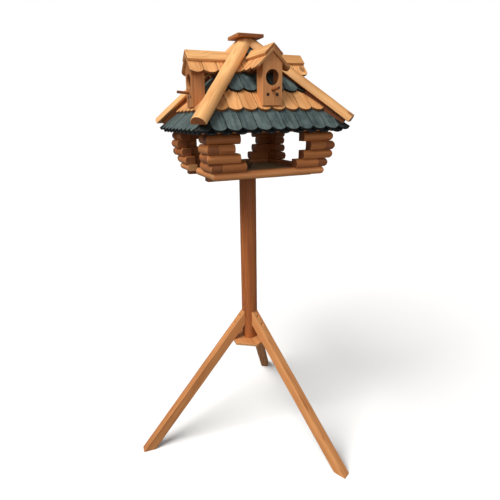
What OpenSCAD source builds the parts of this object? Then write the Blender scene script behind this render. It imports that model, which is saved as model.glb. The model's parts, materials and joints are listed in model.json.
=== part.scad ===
// Log-cabin bird feeder on a pole.
// A square feeding tray with four corner stacks of round-faced logs carries a pyramid roof of
// round-ended shingles with one nest-box dormer on each side. The house is clamped on a round
// post by a wing nut, and the post stands on three splayed legs.
// Origin: on the ground, on the axis of the post. +Z is up and the front of the house faces -Y.

/* [Stand] */
// Diameter of the round post
post_d = 55; // [52:1:58]
// Height of the post's lower end above the ground
post_foot_z = 390; // [380:1:400]
// Height of the tray's underside, which rests on the post
tray_z = 991; // [960:1:1040]
// Width of each leg
leg_w = 30; // [28:1:34]
// Depth of each leg, square to its length
leg_depth = 33; // [30:1:36]
// Distance from the axis to the outer toe of each leg
foot_r = 422; // [400:1:440]
// Height of the legs' upper edge on the post
leg_top_z = 495; // [485:1:505]
// Turn of the legs' open side from the front of the house
stand_turn = -33.6; // [-60:0.1:60]
// Across-flats size of the hexagonal brace plate
plate_af = 131; // [128:1:136]
// Thickness of the brace plate
plate_t = 9; // [8:1:12]

/* [Tray] */
// Outer size of the tray over its rim logs
tray_w = 354; // [350:2:360]
// Height of the rim logs
rim_h = 22; // [20:1:24]
// Depth of the rim and stack logs, front to back
log_depth = 34; // [32:1:36]
// Thickness of the floor board
floor_t = 10; // [8:1:12]
// Length of the left rim log, which leaves a gap for sweeping the tray out
rim_left_len = 162; // [140:1:180]

/* [Corner stacks] */
// Height of one log in a stack
log_h = 25.1; // [24:0.1:25.2]
// Distance from the axis to the outer face of the logs, from the bottom level up
stack_outer = [184, 190, 198, 190, 184]; // [182:1:200]
// Distance from the axis to the inner ends of the logs, from the bottom level up
stack_inner = [79, 98, 117, 98, 82]; // [76:1:120]
// How far a through log stands past the face beside it
log_nose = 6; // [4:1:8]

/* [Roof] */
// Pitch of the four roof faces
roof_a = 48.3; // [48:0.1:48.5]
// Distance from the axis to the lower edge of the shingles
eave_r = 231; // [230:1:233]
// Height of the lower edge of the shingles above the tray's underside
eave_h = 134; // [133:1:136]
// Thickness of one shingle
shingle_t = 8; // [6:0.5:8.5]
// Width that one shingle takes in its row
shingle_pitch = 42.2; // [40:0.1:44]
// Visible length of each row of shingles
row_step = 68; // [66:1:69]
// Thickness of the roof boards under the shingles
deck_t = 8; // [6:1:9]
// Diameter of the half-round hip logs
hip_d = 45; // [42:1:46]
// Pitch of the hip logs
hip_a = 35.6; // [35:0.1:36]
// Height above the tray's underside at which the flat sides of the hip logs meet on the axis
hip_h = 376.4; // [376:0.1:378]
// Width of the square roof cap
cap_w = 82; // [78:1:90]
// Height of the roof cap above the tray's underside
cap_h = 385.5; // [384:0.5:387]
// Thickness of the roof cap
cap_t = 9.2; // [8:0.1:12]

/* [Dormers] */
// Distance from the axis to the front of each dormer
dormer_r = 181; // [180:1:184]
// Width of each dormer
dormer_w = 58; // [54:1:60]
// Board thickness of the dormer's face and cheeks
dormer_t = 8; // [7:1:9]
// Height of the dormer's ridge above the tray's underside
dormer_ridge_h = 350; // [348:1:352]
// Pitch of the dormer's roof
dormer_a = 43; // [42:1:44]
// Distance from the dormer's middle to its eaves
dormer_eave = 55; // [52:1:57]
// Diameter of the entrance hole
hole_d = 40; // [32:1:40]
// Height of the entrance hole's centre above the tray's underside
hole_h = 266; // [264:1:269]
// Diameter of the perch
perch_d = 8; // [6:1:9]
// Height of the perch above the tray's underside, where it enters the face
perch_h = 234; // [233:1:236]

/* [Fasteners] */
// Diameter of the threaded rod in the post
rod_d = 8; // [6:1:8]
// Shank diameter of the leg screws
screw_d = 4.5; // [4:0.5:5]
// Head diameter of the leg screws
screw_head_d = 8.6; // [8:0.1:9]

/* [Hidden] */
$fn = 48;

// Gap left between neighbouring wooden pieces, so that they stay separate solids
gap = 0.1;
// Larger than the whole object, for cutting shapes
big = 1600;

// Stand
post_r = post_d / 2;
flat_r = sqrt(post_r * post_r - leg_w * leg_w / 4);
leg_slope = leg_top_z / (foot_r - flat_r);
leg_a = atan(leg_slope);
toe = leg_depth / sin(leg_a);
leg_cut = toe * leg_slope;
// Heights of the two screws in each leg, and the distance from the axis to each screw's head
leg_screw_z = [leg_top_z - 20, leg_top_z - 44];
leg_screw_head_r = [31, 46];
leg_screw_tip_r = 4;
plate_screw_r = 14;
plate_screw_len = 35;
// Shank and head diameter of the smaller screws, and the height of every screw's conical head
trim_screw_d = 4;
trim_head_d = 9.5;
head_h = 3;

// Tray and threaded rod
floor_top = tray_z + floor_t;
rim_top = tray_z + rim_h;
tray_r = tray_w / 2;
inner_r = tray_r - log_depth;
// Part of a log's depth that is its bulging outer side
log_bulge = 6.5;
washer_d = 24;
washer_t = 1.6;
nut_z = floor_top + washer_t;
rod_top = floor_top + 24;
rod_depth = 45;
batten_y = 98;
batten_w = 28;
batten_h = 10;

// Corner stacks
levels = len(stack_outer);
stack_top = rim_top + levels * log_h;

// Roof: the shingles rise by shingle_lift over the deck at their lower ends
shingle_lap = 16;
shingle_len = row_step + shingle_lap;
shingle_lift = shingle_t * shingle_len / row_step + 0.2;
shingle_tilt = asin(shingle_lift / shingle_len);
shingle_gap = 1.8;
shingle_arc = 24;
course = shingle_lift + shingle_t;
eave_z = tray_z + eave_h;
deck_r = eave_r - course * sin(roof_a);
deck_z = eave_z - course * cos(roof_a);
deck_apex = deck_z + deck_r * tan(roof_a);
deck_inset = 12;
hip_z = tray_z + hip_h;
cap_z = tray_z + cap_h;
starter_len = 26;
starter_t = 5;
rows = 5;

// The top plates touch the underside of the decks with their upper outer edges
plate_h = 18;
plate_w = 30;
deck_under_apex = deck_apex - deck_t / cos(roof_a);
top_plate_r = (deck_under_apex - stack_top - plate_h) / tan(roof_a) - gap;

// Hip logs: distance from the axis, along the hip, to the lower end
hip_run = 317;
// Tapered battens that fill the space between the roof boards and the hip logs
hip_batten_w = 14;
hip_batten_start = 40;
hip_batten_end = hip_run / cos(hip_a) - 12;

// Dormers
dormer_half = dormer_w / 2;
dormer_ridge_z = tray_z + dormer_ridge_h;
hole_z = tray_z + hole_h;
perch_z = tray_z + perch_h;
ridge_t = 8;
ridge_half = 28;
plank_t = 7;
plank_apex = dormer_ridge_z - ridge_t / cos(dormer_a);
gable_apex = plank_apex - plank_t / cos(dormer_a) - 2 * gap;
plank_front = dormer_r + 8;
cheek_back = eave_r - 2 * row_step * cos(roof_a) + 1;
perch_len = 44;
perch_rise = 5;
dormer_screw_x = 14;
dormer_screw_z = perch_z - 11;
dormer_screw_len = 24;
face_foot_z = perch_z - 39;
gable_foot_z = perch_z - 75;
block_top = perch_z - 6;
block_t = 20;

// Height of the second row's surface at distance r from the axis
row2_r = eave_r - row_step * cos(roof_a);
row2_z = eave_z + row_step * sin(roof_a);

// ---------------------------------------------------------------- shared shapes

// Turns a piece made for the front to another side: 0 front, 1 right, 2 back, 3 left
module side(k) {
    rotate([0, 0, 90 * k]) children();
}

// Section of a log: its bulging outer side is at x = 0 and its flat inner side at x = depth
module log_section(depth, height) {
    arc = (height * height / 4 + log_bulge * log_bulge) / (2 * log_bulge);
    translate([log_bulge, 0]) square([depth - log_bulge, height]);
    intersection() {
        square([depth, height]);
        translate([arc, height / 2]) circle(arc, $fn = 64);
    }
}

// Log along +X from x = 0, with its bulging side at y = 0; its left end is rounded too if nose is true
module log_x(length, depth, height, nose) {
    intersection() {
        rotate([90, 0, 90]) linear_extrude(length) log_section(depth, height);
        if (nose) translate([0, depth + 1, 0]) rotate([90, 0, 0]) linear_extrude(depth + 2)
            log_section(length, height);
    }
}

// The same log along +Y, with its bulging side at x = 0
module log_y(length, depth, height, nose) {
    mirror([1, -1, 0]) log_x(length, depth, height, nose);
}

// Round-ended shingle: its lower end is at y = 0 and it is centred on x = 0
module shingle_outline(length, width) {
    drop = shingle_arc - sqrt(shingle_arc * shingle_arc - width * width / 4);
    translate([-width / 2, drop]) square([width, length - drop]);
    intersection() {
        translate([-width / 2, 0]) square([width, 2 * drop]);
        translate([0, shingle_arc]) circle(shingle_arc);
    }
}

// ---------------------------------------------------------------- stand

// Directions of the right, back and left leg, as turns from +X
function leg_turn(k) = stand_turn - 90 + 60 + 120 * k;

module leg_blank() {
    rotate([90, 0, 0]) translate([0, 0, -leg_w / 2]) linear_extrude(leg_w) polygon([
        [flat_r, leg_top_z], [foot_r, 0], [foot_r - toe, 0], [flat_r, leg_top_z - leg_cut]
    ]);
}

// One leg screw lying along X, with its head towards +X; grow widens it for cutting its hole
module leg_screw(i, grow) {
    length = leg_screw_head_r[i] - leg_screw_tip_r;
    translate([leg_screw_tip_r, 0, leg_screw_z[i]]) rotate([0, 90, 0]) {
        cylinder(d = screw_d + 2 * grow, h = length);
        translate([0, 0, length - head_h])
            cylinder(d1 = screw_d + 2 * grow, d2 = screw_head_d + 2 * grow, h = head_h);
    }
}

module leg_screw_holes() {
    for (i = [0, 1]) {
        leg_screw(i, gap / 2);
        translate([leg_screw_head_r[i], 0, leg_screw_z[i]]) rotate([0, 90, 0])
            cylinder(d = screw_head_d + gap, h = 40);
    }
}

module leg(k) {
    color("burlywood") rotate([0, 0, leg_turn(k)]) difference() {
        leg_blank();
        leg_screw_holes();
    }
}

module post() {
    color("peru") difference() {
        translate([0, 0, post_foot_z]) cylinder(d = post_d, h = tray_z - post_foot_z, $fn = 96);
        for (k = [0:2]) rotate([0, 0, leg_turn(k)]) {
            translate([flat_r, -post_r, post_foot_z - 1])
                cube([post_r, post_d, leg_top_z - post_foot_z + 1]);
            for (i = [0, 1]) leg_screw(i, gap / 2);
        }
        translate([0, 0, tray_z - rod_depth]) cylinder(d = rod_d + gap, h = rod_depth + 1);
        plate_screws_at(gap / 2, 1);
    }
}

module plate_screws_at(grow, below) {
    flare = below * (trim_head_d - trim_screw_d) / head_h;
    wide = trim_head_d + flare + 2 * grow;
    for (k = [0:2]) rotate([0, 0, leg_turn(k) + 60]) {
        translate([plate_screw_r, 0, post_foot_z - plate_t - below]) {
            cylinder(d = trim_screw_d + 2 * grow, h = plate_screw_len + below);
            cylinder(d1 = wide, d2 = trim_screw_d + 2 * grow, h = head_h + below);
        }
    }
}

module brace_plate() {
    color("burlywood") difference() {
        translate([0, 0, post_foot_z - plate_t]) rotate([0, 0, stand_turn])
            cylinder(d = plate_af / cos(30), h = plate_t, $fn = 6);
        for (k = [0:2]) rotate([0, 0, leg_turn(k)]) leg_blank();
        plate_screws_at(gap / 2, 1);
    }
}

module leg_screws() {
    color("silver") for (k = [0:2]) rotate([0, 0, leg_turn(k)]) {
        for (i = [0, 1]) leg_screw(i, 0);
    }
}

module plate_screws() {
    color("silver") plate_screws_at(0, 0);
}

// ---------------------------------------------------------------- clamp

module threaded_rod() {
    color("dimgray") translate([0, 0, tray_z - rod_depth])
        cylinder(d = rod_d, h = rod_top - tray_z + rod_depth);
}

module washer() {
    color("dimgray") translate([0, 0, floor_top]) difference() {
        cylinder(d = washer_d, h = washer_t);
        translate([0, 0, -1]) cylinder(d = rod_d + 0.1, h = washer_t + 2);
    }
}

// One wing, in the XZ plane, that flares up and out from the hub
module wing() {
    translate([0, 1.5, 0]) rotate([90, 0, 0]) linear_extrude(3) {
        polygon([[4, 0], [8, 0], [17, 9], [11, 14], [4, 7]]);
        translate([13, 12.5]) circle(d = 9);
    }
}

module wing_nut() {
    color("dimgray") translate([0, 0, nut_z]) difference() {
        union() {
            cylinder(d1 = 17, d2 = 14, h = 8);
            wing();
            mirror([1, 0, 0]) wing();
        }
        translate([0, 0, -1]) cylinder(d = rod_d + 0.1, h = 20);
    }
}

// ---------------------------------------------------------------- tray

module floor_board() {
    color("tan") difference() {
        translate([-inner_r, -inner_r, tray_z]) cube([2 * inner_r, 2 * inner_r, floor_t]);
        translate([0, 0, tray_z - 1]) cylinder(d = rod_d + 0.1, h = floor_t + 2);
    }
}

// Two battens under the floor, which also carry the rim
module floor_battens() {
    color("saddlebrown") for (s = [-1, 1]) {
        translate([-tray_r + 6, s * batten_y - batten_w / 2, tray_z - batten_h - gap / 2])
            cube([2 * tray_r - 12, batten_w, batten_h]);
    }
}

// Rim log along the front, whose rounded ends are flush with the side rims
module rim_full() {
    intersection() {
        translate([-tray_r, -tray_r, tray_z]) log_x(2 * tray_r, log_depth - gap, rim_h, true);
        mirror([1, 0, 0]) translate([-tray_r, -tray_r, tray_z])
            log_x(2 * tray_r, log_depth - gap, rim_h, true);
    }
}

module rim_front() {
    color("peru") rim_full();
}

module rim_back() {
    color("peru") side(2) rim_full();
}

// Side rim log between the front and back ones, from start to end along Y
module rim_side(start, end) {
    translate([-tray_r, start, tray_z]) log_y(end - start, log_depth - gap, rim_h, false);
}

module rim_right() {
    color("peru") mirror([1, 0, 0]) rim_side(-inner_r + gap, inner_r - gap);
}

// The left rim is in two pieces, with the sweeping gap between them
module rim_left() {
    color("peru") {
        rim_side(-inner_r + gap, -tray_r + rim_left_len);
        rim_side(stack_inner[0], inner_r - gap);
    }
}

// ---------------------------------------------------------------- corner stacks

// The two logs of level i at the front left corner; the side log runs through on even i
module stack_level(i) {
    out = stack_outer[i];
    reach = out - stack_inner[i];
    height = log_h - gap;
    x_through = i % 2 == 1;
    nose = x_through ? log_nose : 0;
    translate([-out, -out, rim_top + i * log_h]) {
        if (x_through) {
            translate([-nose, 0, 0]) log_x(reach + nose, log_depth, height, true);
            translate([0, log_depth + gap, 0])
                log_y(reach - log_depth - gap, log_depth, height, false);
        } else {
            translate([log_depth + gap, 0, 0])
                log_x(reach - log_depth - gap, log_depth, height, false);
            log_y(reach, log_depth, height, true);
        }
    }
}

module stack() {
    color("sienna") for (i = [0:levels - 1]) stack_level(i);
}

module stack_front_left() {
    stack();
}

module stack_front_right() {
    mirror([1, 0, 0]) stack();
}

module stack_back_right() {
    rotate([0, 0, 180]) stack();
}

module stack_back_left() {
    mirror([0, 1, 0]) stack();
}

// Four battens on top of the stacks, butted into a square frame under the roof boards
module top_plates() {
    color("burlywood") for (k = [0:3]) side(k) {
        translate([-top_plate_r, -top_plate_r, stack_top])
            cube([2 * top_plate_r - plate_w - gap, plate_w, plate_h]);
    }
}

// ---------------------------------------------------------------- roof

// Puts a piece drawn flat on the front roof face: x along the eave, y up the slope, z outwards
module on_slope() {
    translate([0, -deck_r, deck_z]) rotate([roof_a, 0, 0]) children();
}

// The wedge of space over the front quarter of the plan
module front_quarter(clear) {
    linear_extrude(big) polygon([[0, -clear * sqrt(2)], [-300, -300 - clear], [300, -300 - clear]]);
}

module deck() {
    color("burlywood") intersection() {
        front_quarter(gap / 2);
        on_slope() translate([-300, deck_inset, -deck_t]) cube([600, 400, deck_t]);
    }
}

// Places a piece on the front left hip: x down the hip, z out of the flat sides of the hip logs
module on_hip() {
    translate([0, 0, hip_z]) rotate([0, 0, -135]) rotate([0, hip_a, 0]) children();
}

// Space above the flat side of the front left hip log
module hip_clearance() {
    on_hip() translate([-20, -hip_d / 2 - 0.4, -gap]) cube([450, hip_d + 0.8, 60]);
}

// Space of the batten under the front left hip log, widened by grow
module hip_batten_space(grow) {
    on_hip() translate([hip_batten_start, -hip_batten_w / 2 - grow, -80])
        cube([hip_batten_end - hip_batten_start + grow, hip_batten_w + 2 * grow, 80 - gap]);
}

// Everything under the front face of the roof boards
module under_deck() {
    on_slope() translate([-600, -200, -600]) cube([1200, 1200, 600 + gap]);
}

module hip_batten() {
    difference() {
        hip_batten_space(0);
        intersection() {
            under_deck();
            side(3) under_deck();
        }
    }
}

module hip_battens() {
    color("sienna") for (k = [0:3]) side(k) hip_batten();
}

// One row of shingles: row 1 is at the eave
module shingle_row(row) {
    run = (row - 1) * row_step;
    reach = (eave_r - run * cos(roof_a)) + shingle_pitch / 2;
    offset_x = row % 2 == 1 ? 0 : shingle_pitch / 2;
    count = ceil(reach / shingle_pitch);
    length = row == rows ? row_step - 2 : shingle_len;
    on_slope() translate([0, run, shingle_lift]) rotate([-shingle_tilt, 0, 0]) {
        for (i = [-count:count]) translate([i * shingle_pitch + offset_x, 0, gap])
            linear_extrude(shingle_t - gap) shingle_outline(length, shingle_pitch - shingle_gap);
    }
}

// Short course under the first row, set half a shingle aside
module starter_row() {
    count = ceil(eave_r / shingle_pitch);
    on_slope() for (i = [-count:count]) translate([(i + 0.5) * shingle_pitch, 0, gap])
        linear_extrude(starter_t) shingle_outline(starter_len, shingle_pitch - shingle_gap);
}

// Cuts shingles to the quarter of the roof and away from the two hip logs
module trimmed() {
    difference() {
        intersection() {
            front_quarter(gap);
            union() children();
        }
        for (s = [0, 1]) mirror([s, 0, 0]) {
            hip_clearance();
            hip_batten_space(gap);
        }
    }
}

module dark_shingles() {
    color("darkslategray") trimmed() {
        starter_row();
        for (row = [1:2:rows]) shingle_row(row);
    }
}

module natural_shingles() {
    color("burlywood") trimmed() {
        for (row = [2:2:rows]) shingle_row(row);
    }
}

// Half-round log on the front left hip, cut level under the cap and mitred against its neighbours
module hip_log() {
    color("burlywood") intersection() {
        on_hip() rotate([90, 0, 90]) translate([0, 0, -60])
            linear_extrude(hip_run / cos(hip_a) + 60) intersection() {
                circle(d = hip_d, $fn = 96);
                translate([-hip_d, 0]) square([2 * hip_d, hip_d]);
            }
        translate([-400 - gap, -400 - gap, 0]) cube([400, 400, cap_z]);
    }
}

module roof_cap() {
    color("peru") translate([-cap_w / 2, -cap_w / 2, cap_z]) cube([cap_w, cap_w, cap_t]);
}

// ---------------------------------------------------------------- dormers

// Everything above the surface of the second row of shingles
module above_row2() {
    translate([0, -row2_r, row2_z + gap]) rotate([roof_a - shingle_tilt, 0, 0])
        translate([-200, -100, 0]) cube([400, 400, 400]);
}

// Everything outside the plane that the lower edges of the rows lie in
module outside_roof() {
    translate([0, -eave_r, eave_z + gap]) rotate([roof_a, 0, 0])
        translate([-200, -100, 0]) cube([400, 600, 400]);
}

module gable_outline() {
    drop = dormer_half * tan(dormer_a);
    polygon([
        [-dormer_half, gable_foot_z], [dormer_half, gable_foot_z], [dormer_half, gable_apex - drop],
        [0, gable_apex], [-dormer_half, gable_apex - drop]
    ]);
}

// The perch leans up by a few degrees; extra lengthens it inwards for cutting its hole
module perch_at(grow, extra) {
    translate([0, -dormer_r + dormer_t, perch_z]) rotate([90 - perch_rise, 0, 0])
        translate([0, 0, -extra]) cylinder(d = perch_d + 2 * grow, h = perch_len + extra);
}

module dormer_screws_at(grow) {
    for (s = [-1, 1]) translate([s * dormer_screw_x, -dormer_r, dormer_screw_z]) rotate([-90, 0, 0]) {
        cylinder(d = trim_screw_d + 2 * grow, h = dormer_screw_len);
        cylinder(d1 = trim_head_d + 2 * grow, d2 = trim_screw_d + 2 * grow, h = head_h);
    }
}

module dormer_face() {
    color("tan") difference() {
        intersection() {
            translate([0, -dormer_r + dormer_t, 0]) rotate([90, 0, 0]) linear_extrude(dormer_t)
                gable_outline();
            above_row2();
        }
        translate([0, -dormer_r - 1, hole_z]) rotate([-90, 0, 0])
            cylinder(d = hole_d, h = dormer_t + 2, $fn = 64);
        perch_at(gap / 2, 2);
        dormer_screws_at(gap / 2);
        translate([-dormer_w, -dormer_r - 1, 0]) cube([2 * dormer_w, dormer_t + 2, face_foot_z]);
    }
}

// Two cheeks and the block between them that the face is screwed to
module dormer_box() {
    front = -dormer_r + dormer_t + gap;
    depth = -cheek_back - front;
    color("tan") difference() {
        intersection() {
            above_row2();
            translate([0, -cheek_back, 0]) rotate([90, 0, 0]) linear_extrude(depth)
                gable_outline();
            union() {
                for (s = [-1, 1]) translate([s * (dormer_half - dormer_t / 2) - dormer_t / 2, front, 0])
                    cube([dormer_t, depth, big]);
                translate([-dormer_half + dormer_t + gap, front, 0])
                    cube([dormer_w - 2 * dormer_t - 2 * gap, block_t, block_top]);
            }
        }
        dormer_screws_at(gap / 2);
    }
}

// Three shingles on the right slope of the dormer, with their round ends at its eaves
module dormer_slope() {
    length = dormer_eave / cos(dormer_a) - gap;
    for (i = [0:2]) {
        translate([dormer_eave, -plank_front + (i + 0.5) * shingle_pitch,
                   plank_apex - dormer_eave * tan(dormer_a)])
            rotate([0, dormer_a, 0]) rotate([0, 0, 90]) translate([0, 0, -plank_t])
                linear_extrude(plank_t - gap) shingle_outline(length, shingle_pitch - shingle_gap);
    }
}

module dormer_roof() {
    color("burlywood") for (s = [0, 1]) mirror([s, 0, 0]) intersection() {
        outside_roof();
        dormer_slope();
        translate([gap / 2, -300, 0]) cube([200, 400, big]);
    }
}

// Two narrow boards that cover the dormer's ridge
module dormer_ridge() {
    rise = ridge_half * tan(dormer_a);
    color("tan") for (s = [0, 1]) mirror([s, 0, 0]) intersection() {
        outside_roof();
        rotate([90, 0, 0]) linear_extrude(plank_front - 1) polygon([
            [gap / 2, dormer_ridge_z], [ridge_half, dormer_ridge_z - rise],
            [ridge_half - ridge_t * sin(dormer_a), dormer_ridge_z - rise - ridge_t * cos(dormer_a)],
            [gap / 2, dormer_ridge_z - ridge_t / cos(dormer_a)]
        ]);
    }
}

module perch() {
    color("sienna") perch_at(0, 0);
}

module dormer_screws() {
    color("dimgray") for (k = [0:3]) side(k) dormer_screws_at(0);
}

// ---------------------------------------------------------------- pieces

post();
leg(0);  // leg_right
leg(1);  // leg_back
leg(2);  // leg_left
brace_plate();
leg_screws();
plate_screws();
threaded_rod();
washer();
wing_nut();
floor_board();
floor_battens();
rim_front();
rim_right();
rim_back();
rim_left();
stack_front_left();
stack_front_right();
stack_back_right();
stack_back_left();
top_plates();
side(0) deck();  // deck_front
side(1) deck();  // deck_right
side(2) deck();  // deck_back
side(3) deck();  // deck_left
side(0) dark_shingles();  // dark_shingles_front
side(1) dark_shingles();  // dark_shingles_right
side(2) dark_shingles();  // dark_shingles_back
side(3) dark_shingles();  // dark_shingles_left
side(0) natural_shingles();  // natural_shingles_front
side(1) natural_shingles();  // natural_shingles_right
side(2) natural_shingles();  // natural_shingles_back
side(3) natural_shingles();  // natural_shingles_left
side(0) hip_log();  // hip_front_left
side(1) hip_log();  // hip_front_right
side(2) hip_log();  // hip_back_right
side(3) hip_log();  // hip_back_left
hip_battens();
roof_cap();
side(0) dormer_face();  // dormer_face_front
side(1) dormer_face();  // dormer_face_right
side(2) dormer_face();  // dormer_face_back
side(3) dormer_face();  // dormer_face_left
side(0) dormer_box();  // dormer_box_front
side(1) dormer_box();  // dormer_box_right
side(2) dormer_box();  // dormer_box_back
side(3) dormer_box();  // dormer_box_left
side(0) dormer_roof();  // dormer_roof_front
side(1) dormer_roof();  // dormer_roof_right
side(2) dormer_roof();  // dormer_roof_back
side(3) dormer_roof();  // dormer_roof_left
side(0) dormer_ridge();  // dormer_ridge_front
side(1) dormer_ridge();  // dormer_ridge_right
side(2) dormer_ridge();  // dormer_ridge_back
side(3) dormer_ridge();  // dormer_ridge_left
side(0) perch();  // perch_front
side(1) perch();  // perch_right
side(2) perch();  // perch_back
side(3) perch();  // perch_left
dormer_screws();
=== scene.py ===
"""Looks of a log-cabin bird feeder on its post.

Every CAD piece is rebuilt with worn edges, slightly uneven sides and grain of its own.
"""

import json
import math
import random

import bmesh
import bpy
import numpy as np
from mathutils import Matrix, Vector, noise

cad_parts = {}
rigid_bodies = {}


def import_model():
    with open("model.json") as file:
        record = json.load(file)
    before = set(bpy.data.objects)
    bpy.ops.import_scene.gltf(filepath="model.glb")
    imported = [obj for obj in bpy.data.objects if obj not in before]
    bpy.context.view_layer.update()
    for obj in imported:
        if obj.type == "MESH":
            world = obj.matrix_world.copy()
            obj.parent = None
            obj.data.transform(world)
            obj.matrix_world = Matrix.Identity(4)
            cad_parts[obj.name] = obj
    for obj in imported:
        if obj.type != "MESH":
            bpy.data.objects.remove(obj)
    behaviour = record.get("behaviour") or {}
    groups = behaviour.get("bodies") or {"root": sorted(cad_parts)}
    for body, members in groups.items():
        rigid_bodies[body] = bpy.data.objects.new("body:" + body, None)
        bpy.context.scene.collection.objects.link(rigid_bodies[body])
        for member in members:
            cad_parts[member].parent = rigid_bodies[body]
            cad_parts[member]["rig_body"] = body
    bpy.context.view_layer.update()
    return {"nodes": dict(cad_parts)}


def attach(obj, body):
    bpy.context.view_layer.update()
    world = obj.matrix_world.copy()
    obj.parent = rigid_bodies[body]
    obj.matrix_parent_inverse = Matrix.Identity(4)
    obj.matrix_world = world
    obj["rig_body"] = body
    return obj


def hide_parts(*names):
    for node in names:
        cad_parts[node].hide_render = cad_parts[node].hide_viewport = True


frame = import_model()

MM = 0.001
UP = Vector((0, 0, 1))

# ---------------------------------------------------------------- camera, light and floor

# The camera stands where the photograph was taken from: metres, degrees, and a lens in millimetres
CAMERA_AT = Vector((-0.526, -1.228, 1.155))
CAMERA_YAW = 23.39
CAMERA_PITCH = -18.05
CAMERA_ROLL = -0.80
CAMERA_LENS = 29.2
SENSOR = 36.0
CLIP_NEAR = 0.05
CLIP_FAR = 50

# Azimuth 0 shines from the front and 90 from the right; softness is the light's width in degrees
KEY_LIGHT = {"azimuth": -70, "elevation": 50, "strength": 3.6, "softness": 38, "colour": (1.0, 0.985, 0.96)}
FRONT_LIGHT = {"azimuth": -12, "elevation": 18, "strength": 0.75, "softness": 45, "colour": (1, 1, 1)}

# The surroundings and the floor look white, but give the feeder only this much light
WORLD_LIGHT = 0.17
FLOOR_BOUNCE = 0.2
FLOOR_WHITE = 0.97
FLOOR_HALF = 40.0


def make_camera():
    yaw, pitch, roll = (math.radians(a) for a in (CAMERA_YAW, CAMERA_PITCH, CAMERA_ROLL))
    forward = Vector((math.sin(yaw) * math.cos(pitch), math.cos(yaw) * math.cos(pitch), math.sin(pitch)))
    level = Vector((math.cos(yaw), -math.sin(yaw), 0))
    above = level.cross(forward)
    right = math.cos(roll) * level + math.sin(roll) * above
    top = right.cross(forward)
    data = bpy.data.cameras.new("camera")
    data.lens, data.sensor_width = CAMERA_LENS, SENSOR
    data.clip_start, data.clip_end = CLIP_NEAR, CLIP_FAR
    camera = bpy.data.objects.new("camera", data)
    camera.matrix_world = Matrix((right, top, -forward)).transposed().to_4x4()
    camera.location = CAMERA_AT
    bpy.context.scene.collection.objects.link(camera)
    bpy.context.scene.camera = camera


def sun(name, azimuth, elevation, strength, softness, colour):
    """A distant soft light."""
    a, e = math.radians(azimuth), math.radians(elevation)
    towards = Vector((math.sin(a) * math.cos(e), -math.cos(a) * math.cos(e), math.sin(e)))
    data = bpy.data.lights.new(name, "SUN")
    data.energy, data.angle, data.color = strength, math.radians(softness), colour
    light = bpy.data.objects.new(name, data)
    light.rotation_euler = towards.to_track_quat("Z", "Y").to_euler()
    bpy.context.scene.collection.objects.link(light)


def make_studio():
    """White surroundings that are dimmer as a light than they look, and two suns."""
    world = bpy.data.worlds.new("studio")
    bpy.context.scene.world = world
    world.use_nodes = True
    tree = world.node_tree
    background = tree.nodes["Background"]
    background.inputs["Color"].default_value = (1, 1, 1, 1)
    path = tree.nodes.new("ShaderNodeLightPath")
    strength = tree.nodes.new("ShaderNodeMapRange")
    strength.inputs["To Min"].default_value = WORLD_LIGHT
    strength.inputs["To Max"].default_value = 1.0
    tree.links.new(path.outputs["Is Camera Ray"], strength.inputs["Value"])
    tree.links.new(strength.outputs["Result"], background.inputs["Strength"])
    sun("key", **KEY_LIGHT)
    sun("front", **FRONT_LIGHT)
    bpy.context.scene.view_settings.view_transform = "Standard"


def make_floor():
    """A pale floor that looks nearly white and gives back little light, so that undersides stay dark."""
    half = FLOOR_HALF
    mesh = bpy.data.meshes.new("floor")
    corners = [(-half, -half, 0), (half, -half, 0), (half, half, 0), (-half, half, 0)]
    mesh.from_pydata(corners, [], [(0, 1, 2, 3)])
    floor = bpy.data.objects.new("floor", mesh)
    bpy.context.scene.collection.objects.link(floor)
    paint = Shader("floor_paint")
    seen = paint.node("LightPath").outputs["Is Camera Ray"]
    base = paint.mix(seen, (*grey(FLOOR_BOUNCE), 1), (*grey(FLOOR_WHITE), 1))
    paint.finish(base, roughness=0.9, Specular_IOR_Level=0.0)
    mesh.materials.append(paint.material)


# ---------------------------------------------------------------- materials

# Where the colour ramps change, from 0 to 1, and their colours there
LATE_WOOD = [
    (0.0, (0.25, 0.25, 0.25)), (0.12, (0.0, 0.0, 0.0)), (0.55, (0.18, 0.18, 0.18)),
    (0.86, (1.0, 1.0, 1.0)), (1.0, (0.3, 0.3, 0.3)),
]
BLOTCHES = [(0.25, (0.78, 0.74, 0.70)), (0.75, (1.08, 1.08, 1.08))]
WOOD_TONES_AND_PAINTED_LIGHT = [(0.0, (0.80, 0.73, 0.66)), (0.5, (1.0, 1.0, 1.0)), (1.0, (1.12, 1.13, 1.16))]
SLATE_TONES = [(0.0, (0.72, 0.76, 0.78)), (0.5, (1.0, 1.0, 1.0)), (1.0, (1.25, 1.22, 1.18))]
KNOT_RINGS = [(0.0, (0.16, 0.07, 0.03)), (0.6, (0.22, 0.09, 0.035)), (1.0, (0.10, 0.04, 0.015))]

# Knots a metre along and across the grain, and a knot's size within its cell
KNOT_SPREAD = (6.5, 11, 11)
KNOT_SIZE = 0.13
WOOD_RELIEF = 0.25 * MM
STAIN_RELIEF = 0.3 * MM
# Share of specular light that dry wood gives back
WOOD_GLOSS = 0.35


def grey(value):
    return (value,) * 3


def rgb(r, g, b):
    """A colour given as it looks on a screen, from 0 to 255, as the linear one that the shader takes."""
    return tuple(((c / 255 + 0.055) / 1.055) ** 2.4 if c > 10 else c / 3294.6 for c in (r, g, b))


def darker(colour, share):
    """The colour with this share of its light, and an alpha of 1."""
    return tuple(share * c for c in colour) + (1,)


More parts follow.
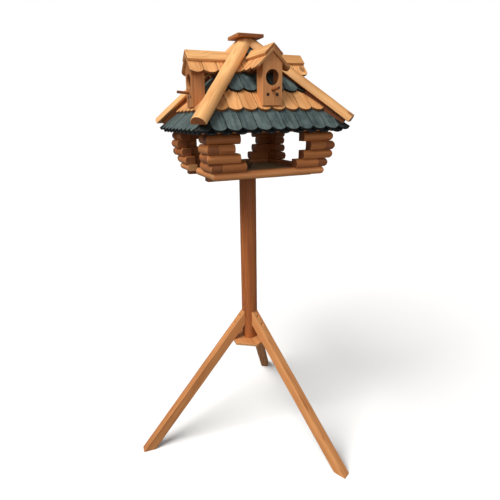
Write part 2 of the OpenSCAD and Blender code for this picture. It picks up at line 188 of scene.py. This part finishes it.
class Shader:
    """Builds one node material: each method adds a node and gives back its output."""

    def __init__(self, name):
        self.material = bpy.data.materials.new(name)
        self.material.use_nodes = True
        self.tree = self.material.node_tree
        self.surface = self.tree.nodes["Principled BSDF"]

    def put(self, socket, value):
        if isinstance(value, bpy.types.NodeSocket):
            self.tree.links.new(value, socket)
        else:
            socket.default_value = value

    def node(self, kind, inputs=(), **settings):
        made = self.tree.nodes.new("ShaderNode" + kind)
        for key, value in settings.items():
            setattr(made, key, value)
        for key, value in dict(inputs).items():
            self.put(made.inputs[key], value)
        return made

    def attribute(self, name, output):
        return self.node("Attribute", attribute_name=name).outputs[output]

    def math(self, operation, a, b=0.0, clamp=False):
        return self.node("Math", {0: a, 1: b}, operation=operation, use_clamp=clamp).outputs[0]

    def stretch(self, vector, scale):
        return self.node("VectorMath", {0: vector, 1: scale}, operation="MULTIPLY").outputs[0]

    def noise(self, vector, scale, detail=2.0, roughness=0.5):
        """Noise with its scale given per metre, along the grain first."""
        placed = self.stretch(vector, scale)
        inputs = {"Vector": placed, "Scale": 1.0, "Detail": detail, "Roughness": roughness}
        return self.node("TexNoise", inputs).outputs["Fac"]

    def range(self, value, low, high, to_low=0.0, to_high=1.0, smooth=True):
        """The value taken from low..high to to_low..to_high."""
        inputs = {"Value": value, "From Min": low, "From Max": high, "To Min": to_low, "To Max": to_high}
        kind = "SMOOTHSTEP" if smooth else "LINEAR"
        return self.node("MapRange", inputs, interpolation_type=kind).outputs["Result"]

    def ramp(self, value, stops):
        made = self.node("ValToRGB", {"Fac": value})
        ramp = made.color_ramp
        while len(ramp.elements) < len(stops):
            ramp.elements.new(0.5)
        for element, (at, colour) in zip(ramp.elements, stops):
            element.position, element.color = at, (*colour, 1)
        return made.outputs["Color"]

    def mix(self, factor, a, b, blend="MIX"):
        made = self.node("Mix", {"Factor": factor}, data_type="RGBA", blend_type=blend)
        # Inputs 6 and 7 and output 2 are the node's colour sockets
        self.put(made.inputs[6], a)
        self.put(made.inputs[7], b)
        return made.outputs[2]

    def finish(self, base, roughness, height=None, relief=0.0, **constants):
        self.put(self.surface.inputs["Base Color"], base)
        self.put(self.surface.inputs["Roughness"], roughness)
        for key, value in constants.items():
            self.surface.inputs[key.replace("_", " ")].default_value = value
        if height is not None:
            bump = self.node("Bump", {"Height": height, "Distance": relief, "Strength": 1.0})
            self.put(self.surface.inputs["Normal"], bump.outputs["Normal"])
        return self.material


def late_wood(s, grain, spacing, knot_distance):
    """The dark part of each growth ring, from 0 to 1: rings round the pith, which swell round knots."""
    parts = s.node("SeparateXYZ", {0: grain})
    across = s.node("CombineXYZ", {"Y": parts.outputs["Y"], "Z": parts.outputs["Z"]})
    radius = s.node("VectorMath", {0: across.outputs[0]}, operation="LENGTH").outputs["Value"]
    drift = s.range(s.noise(grain, (2.2, 9, 9)), 0.2, 0.8, -9 * MM, 9 * MM, smooth=False)
    ripple = s.range(s.noise(grain, (11, 60, 60)), 0.2, 0.8, -1 * MM, 1 * MM, smooth=False)
    swell = s.range(knot_distance, 0.42, 0.05, 0.0, 7 * MM)
    radius = s.math("ADD", s.math("ADD", radius, drift), s.math("ADD", ripple, swell))
    return s.ramp(s.math("FRACT", s.math("DIVIDE", radius, spacing)), LATE_WOOD)


def wood(name, light, dark, end, rings=3.4 * MM, ring_depth=0.6, rough=0.5, knots=1.0, painted_side_shade=0.0):
    """Sawn softwood: growth rings, fibres along the grain, knots, end grain and worn edges."""
    s = Shader(name)
    grain = s.attribute("grain_co", "Vector")
    seed = s.attribute("piece_tone_and_painted_light", "Fac")
    cells = s.node("TexVoronoi", {"Vector": s.stretch(grain, KNOT_SPREAD), "Scale": 1.0, "Randomness": 1.0})
    knot_distance = cells.outputs["Distance"]
    knot = s.math("MULTIPLY", s.range(knot_distance, KNOT_SIZE, 0.06), knots)
    late = late_wood(s, grain, rings, knot_distance)
    fibre = s.noise(grain, (22, 950, 950), 3.0, 0.6)
    streak = s.noise(grain, (5, 190, 190), 2.0, 0.6)
    band = s.noise(grain, (2.2, 55, 55), 2.0, 0.5)
    blotch = s.noise(grain, (5, 26, 26), 2.0)

    tone = s.math("ADD", s.math("MULTIPLY", late, ring_depth), s.range(streak, 0.25, 0.75, -0.22, 0.3))
    tone = s.math("ADD", tone, s.range(band, 0.3, 0.7, -0.15, 0.35))
    tone = s.math("ADD", tone, s.range(fibre, 0.25, 0.75, -0.12, 0.14), clamp=True)
    colour = s.mix(tone, (*light, 1), (*dark, 1))
    colour = s.mix(1.0, colour, s.ramp(blotch, BLOTCHES), "MULTIPLY")
    # The piece's tone: random for most pieces, painted light and painted shade for the listed ones
    colour = s.mix(1.0, colour, s.ramp(seed, WOOD_TONES_AND_PAINTED_LIGHT), "MULTIPLY")
    end_colour = s.mix(tone, (*end, 1), darker(end, 0.55))
    colour = s.mix(s.attribute("end_grain", "Fac"), colour, end_colour)
    knot_colour = s.ramp(s.range(knot_distance, 0.0, KNOT_SIZE), KNOT_RINGS)
    colour = s.mix(s.math("MULTIPLY", knot, 0.8), colour, knot_colour)
    # Side faces painted darker: painted shade of the gaps between shingles
    side = s.math("MULTIPLY", s.attribute("side_face", "Fac"), painted_side_shade)
    colour = s.mix(side, colour, darker(dark, 0.4))
    wear = s.range(s.noise(grain, (60, 160, 160), 3.0), 0.35, 0.7, 0.1, 0.75)
    colour = s.mix(s.math("MULTIPLY", s.attribute("edge_wear", "Fac"), wear), colour, (*light, 1))

    roughness = s.math("ADD", rough - 0.1, s.math("MULTIPLY", s.math("ADD", streak, late), 0.13))
    height = s.math("ADD", s.math("MULTIPLY", fibre, 0.7), s.math("MULTIPLY", late, 0.45))
    height = s.math("SUBTRACT", height, s.math("MULTIPLY", knot, 0.6))
    return s.finish(colour, roughness, height, WOOD_RELIEF, Specular_IOR_Level=WOOD_GLOSS)


def stained(name, light, dark, worn):
    """Wood under a thin slate-coloured stain, rubbed paler where it is raised, with sides near black:
    partly stain soaked deeper into them, partly painted shade of the gaps between shingles.
    """
    s = Shader(name)
    grain = s.attribute("grain_co", "Vector")
    seed = s.attribute("piece_tone_and_painted_light", "Fac")
    fibre = s.noise(grain, (20, 800, 800), 3.0, 0.65)
    streak = s.noise(grain, (9, 150, 150), 3.0, 0.6)
    cloud = s.noise(grain, (30, 45, 45), 4.0, 0.6)

    cloudy = s.range(cloud, 0.3, 0.7, 0.0, 0.5)
    tone = s.math("ADD", s.range(streak, 0.3, 0.7, 0.0, 0.45), cloudy, clamp=True)
    colour = s.mix(tone, (*dark, 1), (*light, 1))
    colour = s.mix(s.range(fibre, 0.55, 0.75, 0.0, 0.35), colour, (*worn, 1))
    colour = s.mix(1.0, colour, s.ramp(seed, SLATE_TONES), "MULTIPLY")
    spots = s.range(s.noise(grain, (160, 220, 220), 2.0, 0.7), 0.66, 0.72)
    colour = s.mix(s.math("MULTIPLY", spots, 0.6), colour, darker(dark, 0.4))
    # Sides near black: partly the stain soaked deeper, partly painted shade of the gaps between shingles
    side = s.math("MULTIPLY", s.attribute("side_face", "Fac"), 0.96)
    colour = s.mix(side, colour, darker(dark, 0.1))
    wear = s.range(s.noise(grain, (90, 170, 170), 3.0), 0.4, 0.75, 0.0, 0.55)
    colour = s.mix(s.math("MULTIPLY", s.attribute("edge_wear", "Fac"), wear), colour, (*worn, 1))

    roughness = s.range(cloud, 0.3, 0.7, 0.48, 0.72)
    height = s.math("ADD", fibre, s.math("MULTIPLY", streak, 0.6))
    return s.finish(colour, roughness, height, STAIN_RELIEF, Specular_IOR_Level=WOOD_GLOSS)


def metal(name, colour, dull, rough, relief):
    """Weathered steel with dull patches."""
    s = Shader(name)
    grain = s.attribute("grain_co", "Vector")
    patch = s.noise(grain, (140, 140, 140), 4.0, 0.6)
    fine = s.noise(grain, (1500, 1500, 1500), 2.0)
    shade = s.mix(s.range(patch, 0.35, 0.7), (*colour, 1), (*dull, 1))
    roughness = s.range(s.math("ADD", patch, fine), 0.7, 1.3, rough - 0.1, rough + 0.15)
    return s.finish(shade, roughness, fine, relief, Metallic=0.85)


# A wood's colours are its early wood, its late wood and its end grain
MATERIALS = {
    "post_wood": wood(
        "post_wood", rgb(196, 120, 66), rgb(154, 86, 44), rgb(150, 92, 50), rings=4.5 * MM),
    "stand_wood": wood(
        "stand_wood", rgb(214, 150, 94), rgb(178, 112, 62), rgb(196, 140, 84), rings=4 * MM),
    "rim_wood": wood("rim_wood", rgb(216, 146, 90), rgb(186, 116, 66), rgb(212, 150, 96)),
    "log_wood": wood("log_wood", rgb(204, 132, 76), rgb(164, 96, 48), rgb(150, 88, 48)),
    # The shingles' side faces carry painted shade of the gaps between them
    "shingle_wood": wood(
        "shingle_wood", rgb(232, 174, 114), rgb(192, 126, 70), rgb(160, 92, 48), rings=3 * MM,
        painted_side_shade=0.6),
    "hip_wood": wood("hip_wood", rgb(236, 184, 124), rgb(210, 148, 88), rgb(164, 98, 52)),
    "cap_wood": wood("cap_wood", rgb(196, 130, 76), rgb(160, 98, 50), rgb(146, 86, 46)),
    "dormer_wood": wood(
        "dormer_wood", rgb(208, 144, 90), rgb(182, 116, 68), rgb(196, 136, 82), ring_depth=0.28),
    "board_wood": wood(
        "board_wood", rgb(196, 140, 86), rgb(150, 96, 52), rgb(140, 90, 50), rough=0.6),
    "floor_wood": wood(
        "floor_wood", rgb(176, 156, 122), rgb(140, 120, 88), rgb(120, 100, 74), rough=0.65),
    # Mostly painted shade: the floor battens and the hip battens sit in shadow, and the perches are partly
    # dark brown of their own
    "dark_wood": wood("dark_wood", rgb(158, 94, 50), rgb(104, 56, 28), rgb(90, 50, 28), knots=0.0),
    "slate_stain": stained("slate_stain", rgb(97, 113, 111), rgb(42, 56, 59), rgb(128, 140, 132)),
    "dark_steel": metal("dark_steel", rgb(84, 68, 58), rgb(98, 66, 44), 0.45, 0.05 * MM),
    "zinc_steel": metal("zinc_steel", rgb(240, 220, 170), rgb(200, 176, 130), 0.35, 0.03 * MM),
}

# ---------------------------------------------------------------- geometry

# Corners closer together than this are one corner
WELD = 0.01 * MM
# Faces within this angle of each other are one flat face, and edges past the second one are rounded
FLAT_ANGLE = math.radians(0.6)
SHARP_ANGLE = math.radians(28)
BEVEL_SEGMENTS = 2
# Distance over which a piece's sides wander in and out
WANDER_LENGTH = 45 * MM
# Without a seed, noise_vector starts from the clock and gives another shape on each run
noise.seed_set(1)


def islands(bm):
    """The separate solids in a mesh, each as a list of faces."""
    bm.faces.index_update()
    seen = set()
    groups = []
    for start in bm.faces:
        if start.index in seen:
            continue
        seen.add(start.index)
        group, todo = [], [start]
        while todo:
            face = todo.pop()
            group.append(face)
            for edge in face.edges:
                for other in edge.link_faces:
                    if other.index not in seen:
                        seen.add(other.index)
                        todo.append(other)
        groups.append(group)
    return groups


def corners_of(faces):
    """The corners of some faces, always in the same order."""
    return list(dict.fromkeys(v for face in faces for v in face.verts))


def edges_of(faces):
    return list(dict.fromkeys(e for face in faces for e in face.edges))


def middle_of(faces):
    corners = corners_of(faces)
    return sum((v.co for v in corners), Vector()) / len(corners)


def grain_direction(faces, rule):
    """The way the grain runs in one solid."""
    points = np.array([v.co for v in corners_of(faces)])
    if rule == "upright":
        return UP.copy()
    if rule == "side":
        size = np.ptp(points, axis=0)
        return Vector((1, 0, 0)) if size[0] >= size[1] else Vector((0, 1, 0))
    if rule == "long":
        return Vector(np.linalg.eigh(np.cov((points - points.mean(0)).T))[1][:, -1]).normalized()
    broad = max(faces, key=lambda f: f.calc_area()).normal
    level = UP.cross(broad)
    level = level.normalized() if level.length > MM else Vector((1, 0, 0))
    return level if rule == "across" else broad.cross(level).normalized()


def seed_of(faces):
    """A random source that belongs to the place of one solid."""
    centre = middle_of(faces)
    return random.Random(f"{centre.x:.3f} {centre.y:.3f} {centre.z:.3f}")


def slice_along(bm, faces, along, step):
    """Cuts a solid across its grain every so often, so that its long edges can wander."""
    points = [v.co.dot(along) for v in corners_of(faces)]
    low, high = min(points), max(points)
    count = int((high - low) / step)
    geometry = list(faces) + edges_of(faces) + corners_of(faces)
    for i in range(1, count):
        at = along * (low + (high - low) * i / count)
        cut = bmesh.ops.bisect_plane(bm, geom=geometry, dist=1e-6, plane_co=at, plane_no=along)
        geometry = cut["geom"]


def wander(faces, along, amount):
    """Moves a solid's corners sideways by smooth noise, as a hand-sanded piece is never quite straight."""
    shift = Vector((1, 1, 1)) * seed_of(faces).uniform(-40, 40)
    for v in corners_of(faces):
        move = noise.noise_vector(v.co / WANDER_LENGTH + shift) * amount
        v.co += move - along * move.dot(along)


def rebuilt(node, grain, bevel, step, wobble):
    """A copy of a CAD node with flat faces joined up, uneven sides and rounded edges."""
    bm = bmesh.new()
    bm.from_mesh(frame["nodes"][node].data)
    bmesh.ops.remove_doubles(bm, verts=bm.verts, dist=WELD)
    bmesh.ops.dissolve_limit(bm, angle_limit=FLAT_ANGLE, verts=bm.verts, edges=bm.edges)
    bm.normal_update()
    if step:
        for solid in islands(bm):
            slice_along(bm, solid, grain_direction(solid, grain), step)
        bm.normal_update()
    if wobble:
        for solid in islands(bm):
            wander(solid, grain_direction(solid, grain), wobble)
        bm.normal_update()
    sharp = [e for e in bm.edges if e.is_manifold and e.calc_face_angle(0) > SHARP_ANGLE]
    edge_layer = bm.faces.layers.float.new("edge_wear")
    made = bmesh.ops.bevel(
        bm, geom=sharp, offset=bevel, offset_type="OFFSET", segments=BEVEL_SEGMENTS, profile=0.5,
        affect="EDGES", clamp_overlap=False,
    )
    for face in made["faces"]:
        face[edge_layer] = 1.0
    bm.normal_update()
    return bm


def smoothstep(t):
    t = max(0.0, min(1.0, t))
    return t * t * (3 - 2 * t)


# ---------------------------------------------------------------- the object

# A solid shorter along its grain than this shows only end and side faces, as the starter course does, and
# takes the painted shade of side faces all over
STARTER_MAX = 45 * MM
# How far a piece's surface lies from its tree's pith: shingles are split from far out
SHINGLE_PITH = (90, 260)
OTHER_PITH = (25, 90)
# Pieces given a set tone, darker below a half and paler above it: each hip and leg is made paler or darker
# as the light falls on it, which is painted light and painted shade, and the cap is set darker
PIECE_TONES_WITH_PAINTED_LIGHT = {
    "hip_front_left": 0.95,
    "hip_front_right": 0.3,
    "roof_cap": 0.2,
    "leg_right": 0.95,
    "leg_left": 0.3,
}

# Start of the node's name: material and slot, grain rule, then edge radius, slice and wobble in mm
KINDS = {
    "post": ("post_wood", "upright", 0.9, 25, 0.25),
    "leg_screws": ("zinc_steel", "long", 0.25, None, 0),
    "leg_": ("stand_wood", "long", 1.6, 22, 0.5),
    "brace_plate": ("stand_wood", "side", 1.0, 20, 0.25),
    "plate_screws": ("zinc_steel", "long", 0.25, None, 0),
    "threaded_rod": ("dark_steel", "long", 0.5, None, 0),
    "washer": ("dark_steel", "side", 0.25, None, 0),
    "wing_nut": ("dark_steel", "side", 0.8, None, 0),
    "floor_board": ("floor_wood", "side", 0.8, 25, 0.15),
    "floor_battens": ("dark_wood", "side", 1.0, 25, 0.4),
    "rim_": ("rim_wood", "side", 1.3, 18, 0.55),
    "stack_": ("log_wood", "side", 1.5, 14, 0.6),
    "top_plates": ("board_wood", "side", 1.0, 25, 0.3),
    "deck_": ("board_wood", "across", 0.6, 30, 0.2),
    "dark_shingles_": ("slate_stain", "slope", 0.8, 14, 0.35),
    "natural_shingles_": ("shingle_wood", "slope", 0.8, 14, 0.35),
    "hip_battens": ("dark_wood", "long", 0.5, 25, 0),
    "hip_": ("hip_wood", "long", 1.6, 18, 0.7),
    "roof_cap": ("cap_wood", "side", 1.2, 12, 0.35),
    "dormer_face_": ("dormer_wood", "upright", 0.8, None, 0),
    "dormer_box_": ("dormer_wood", "upright", 0.8, 16, 0.25),
    "dormer_roof_": ("shingle_wood", "slope", 0.9, 14, 0.35),
    "dormer_ridge_": ("hip_wood", "long", 1.0, 16, 0.35),
    "perch_": ("dark_wood", "long", 1.0, 8, 0.2),
    "dormer_screws": ("dark_steel", "long", 0.25, None, 0),
}


def kind_of(node):
    return next(kind for start, kind in KINDS.items() if node.startswith(start))


def mark_solids(bm, node, grain):
    """Writes what the materials read: grain coordinates, a tone per piece that carries painted light and
    painted shade on the listed pieces, end grain and side faces.
    """
    pith_depth = SHINGLE_PITH if grain == "slope" else OTHER_PITH
    end_layer = bm.faces.layers.float.new("end_grain")
    side_layer = bm.faces.layers.float.new("side_face")
    grain_layer = bm.verts.layers.float_vector.new("grain_co")
    tone_and_painted_light_layer = bm.verts.layers.float.new("piece_tone_and_painted_light")
    for solid in islands(bm):
        way = grain_direction(solid, grain)
        draw = seed_of(solid)
        corners = corners_of(solid)
        centre = middle_of(solid)
        broad = max(solid, key=lambda f: f.calc_area()).normal
        second = broad - way * broad.dot(way)
        second = second.normalized() if second.length > 0.1 else way.orthogonal().normalized()
        third = way.cross(second)
        pith = Vector((draw.uniform(-3, 3), draw.uniform(*pith_depth) * MM, draw.uniform(-25, 25) * MM))
        # The listed pieces take their set tone, painted light on some and painted shade on others; the rest
        # draw one at random
        seed = PIECE_TONES_WITH_PAINTED_LIGHT.get(node, draw.random())
        reach = [v.co.dot(way) for v in corners]
        starter = max(reach) - min(reach) < STARTER_MAX
        for v in corners:
            off = v.co - centre
            v[grain_layer] = Vector((off.dot(way), off.dot(second), off.dot(third))) + pith
            v[tone_and_painted_light_layer] = seed
        for face in solid:
            face[end_layer] = smoothstep((abs(face.normal.dot(way)) - 0.45) / 0.35)
            flat = abs(face.normal.dot(broad))
            face[side_layer] = 1.0 if starter else 1.0 - smoothstep((flat - 0.55) / 0.4)
            face.smooth = True


def make_piece(node):
    """Puts a node's finished look in place of its CAD mesh, on the same body."""
    slot, grain, bevel, step, wobble = kind_of(node)
    bm = rebuilt(node, grain, bevel * MM, step and step * MM, wobble * MM)
    mark_solids(bm, node, grain)
    mesh = bpy.data.meshes.new("look_" + node)
    bm.to_mesh(mesh)
    bm.free()
    mesh.materials.append(MATERIALS[slot])
    piece = bpy.data.objects.new("look_" + node, mesh)
    bpy.context.scene.collection.objects.link(piece)
    normals = piece.modifiers.new("weighted_normals", "WEIGHTED_NORMAL")
    normals.keep_sharp = True
    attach(piece, frame["nodes"][node]["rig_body"])
    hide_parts(node)


make_camera()
make_studio()
make_floor()
for name in sorted(frame["nodes"]):
    make_piece(name)
